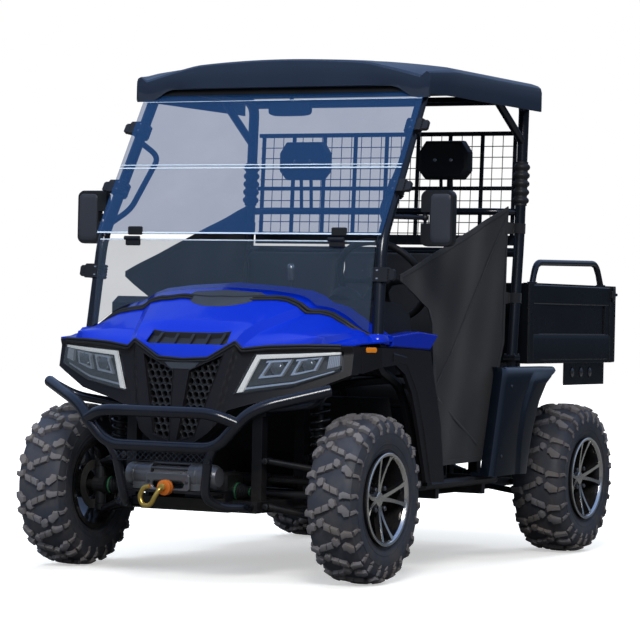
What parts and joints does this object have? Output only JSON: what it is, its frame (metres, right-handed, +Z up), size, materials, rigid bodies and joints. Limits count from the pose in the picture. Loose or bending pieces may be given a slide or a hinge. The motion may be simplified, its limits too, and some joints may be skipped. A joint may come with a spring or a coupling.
{
  "type": "utility vehicle",
  "caption": "Open two-seat utility vehicle with roll cage, roof, windscreen, side nets, bull bar, winch, steerable front wheels and a tipping cargo bed with drop tailgate.",
  "frame": {"origin": "on the ground, on the centre line, midway between the front and rear axles, which is the middle of the base of the whole part", "axes": "+Z up; the front faces -Y; +X is the driver's left-hand side, where the steering wheel is"},
  "size_m": [1.6, 2.7979, 1.928],
  "materials": {
    "tube_paint": "bluish black gloss powder coat",
    "frame_paint": "black satin frame paint",
    "roof_plastic": "satin charcoal moulded plastic",
    "body_paint": "bright gloss blue",
    "fascia_plastic": "charcoal grained plastic",
    "gloss_plastic": "gloss black",
    "bed_steel": "black pressed steel",
    "tyre_rubber": "black rubber",
    "rim_metal": "gloss black with machined faces",
    "clear_sheet": "clear sheet",
    "lamp_lens": "clear lamp lens",
    "net_fabric": "black mesh and webbing",
    "seat_fabric": "charcoal seat cover",
    "cast_metal": "bare cast metal",
    "winch_grey": "silver grey",
    "hook_zinc": "yellow zinc"
  },
  "bodies": {
    "chassis": {"bull_bar": "tube_paint", "dashboard": "fascia_plastic", "engine_block": "cast_metal", "floor_pan": "fascia_plastic", "front_drive": "cast_metal", "front_fascia": "fascia_plastic", "front_lower_arm_left": "frame_paint", "front_lower_arm_right": "frame_paint", "front_upper_arm_left": "frame_paint", "front_upper_arm_right": "frame_paint", "grille": "fascia_plastic", "headlight_left": "lamp_lens", "headlight_right": "lamp_lens", "headrest_bar": "fascia_plastic", "hood": "body_paint", "main_frame": "frame_paint", "rear_drive": "cast_metal", "rear_fender_left": "gloss_plastic", "rear_fender_right": "gloss_plastic", "rear_screen": "tube_paint", "rear_suspension_left": "frame_paint", "rear_suspension_right": "frame_paint", "roll_cage": "tube_paint", "roof": "roof_plastic", "seat_left": "seat_fabric", "seat_right": "seat_fabric", "side_net_left": "net_fabric", "side_net_right": "net_fabric", "side_panel_left": "fascia_plastic", "side_panel_right": "fascia_plastic", "skid_plate": "frame_paint", "winch": "winch_grey", "winch_hook": "hook_zinc", "windshield_lower": "clear_sheet", "windshield_upper": "clear_sheet"},
    "knuckle_left": {"knuckle_left": "cast_metal"},
    "knuckle_right": {"knuckle_right": "cast_metal"},
    "wheel_front_left": {"front_tyre_left": "tyre_rubber", "front_rim_left": "rim_metal"},
    "wheel_front_right": {"front_tyre_right": "tyre_rubber", "front_rim_right": "rim_metal"},
    "wheel_rear_left": {"rear_tyre_left": "tyre_rubber", "rear_rim_left": "rim_metal"},
    "wheel_rear_right": {"rear_tyre_right": "tyre_rubber", "rear_rim_right": "rim_metal"},
    "steering_column_wheel": {"steering_wheel": "fascia_plastic"},
    "rack": {"steering_rack": "cast_metal"},
    "bed": {"cargo_bed": "bed_steel"},
    "gate": {"tailgate": "bed_steel"},
    "strut_lower": {"strut_body": "tube_paint"},
    "strut_upper": {"strut_rod": "cast_metal"},
    "side_mirror_left": {"mirror_left": "fascia_plastic"},
    "side_mirror_right": {"mirror_right": "fascia_plastic"}
  },
  "joints": [
    {"name": "knuckle_left_steer", "type": "hinge", "parent": "chassis", "child": "knuckle_left", "pos_m": [0.5, -0.925, 0.304], "axis": [0, 0, 1], "range_deg": [-30, 30]},
    {"name": "knuckle_right_steer", "type": "hinge", "parent": "chassis", "child": "knuckle_right", "pos_m": [-0.5, -0.925, 0.304], "axis": [0, 0, 1], "range_deg": [-30, 30]},
    {"name": "steering_wheel_turn", "type": "hinge", "parent": "chassis", "child": "steering_column_wheel", "pos_m": [0.32, -0.25, 1.09], "axis": [0, 0.8192, 0.5736], "range_deg": [-270, 270]},
    {"name": "rack_slide", "type": "slide", "parent": "chassis", "child": "rack", "axis": [1, 0, 0], "range_m": [-0.048, 0.048]},
    {"name": "front_left_roll", "type": "hinge", "parent": "knuckle_left", "child": "wheel_front_left", "pos_m": [0.6, -0.925, 0.304], "axis": [1, 0, 0], "continuous": true},
    {"name": "front_right_roll", "type": "hinge", "parent": "knuckle_right", "child": "wheel_front_right", "pos_m": [-0.6, -0.925, 0.304], "axis": [1, 0, 0], "continuous": true},
    {"name": "rear_left_roll", "type": "hinge", "parent": "chassis", "child": "wheel_rear_left", "pos_m": [0.585, 0.925, 0.304], "axis": [1, 0, 0], "continuous": true},
    {"name": "rear_right_roll", "type": "hinge", "parent": "chassis", "child": "wheel_rear_right", "pos_m": [-0.585, 0.925, 0.304], "axis": [1, 0, 0], "continuous": true},
    {"name": "bed_tilt", "type": "hinge", "parent": "chassis", "child": "bed", "pos_m": [0, 1.15, 0.705], "axis": [-1, 0, 0], "range_deg": [0, 45]},
    {"name": "gate_drop", "type": "hinge", "parent": "bed", "child": "gate", "pos_m": [0, 1.366, 0.787], "axis": [-1, 0, 0], "range_deg": [0, 90]},
    {"name": "strut_swing", "type": "hinge", "parent": "chassis", "child": "strut_lower", "pos_m": [0.2, 0.55, 0.48], "axis": [1, 0, 0], "range_deg": [0, 8.6]},
    {"name": "strut_slide", "type": "slide", "parent": "strut_lower", "child": "strut_upper", "axis": [0, 0.7682, 0.6402], "range_m": [0, 0.22]},
    {"name": "mirror_left_fold", "type": "hinge", "parent": "chassis", "child": "side_mirror_left", "pos_m": [0.682, -0.64, 1.315], "axis": [0, 0, 1], "range_deg": [-15, 70]},
    {"name": "mirror_right_fold", "type": "hinge", "parent": "chassis", "child": "side_mirror_right", "pos_m": [-0.682, -0.64, 1.315], "axis": [0, 0, 1], "range_deg": [-70, 15]}
  ],
  "couplings": [
    {"joint": "knuckle_right_steer", "follows": "knuckle_left_steer", "ratio": 1},
    {"joint": "steering_wheel_turn", "follows": "knuckle_left_steer", "ratio": 9},
    {"joint": "rack_slide", "follows": "knuckle_left_steer", "m_per_rad": -0.09},
    {"joint": "strut_swing", "follows": "bed_tilt", "ratio": 0.1882},
    {"joint": "strut_slide", "follows": "bed_tilt", "m_per_rad": 0.2786}
  ]
}
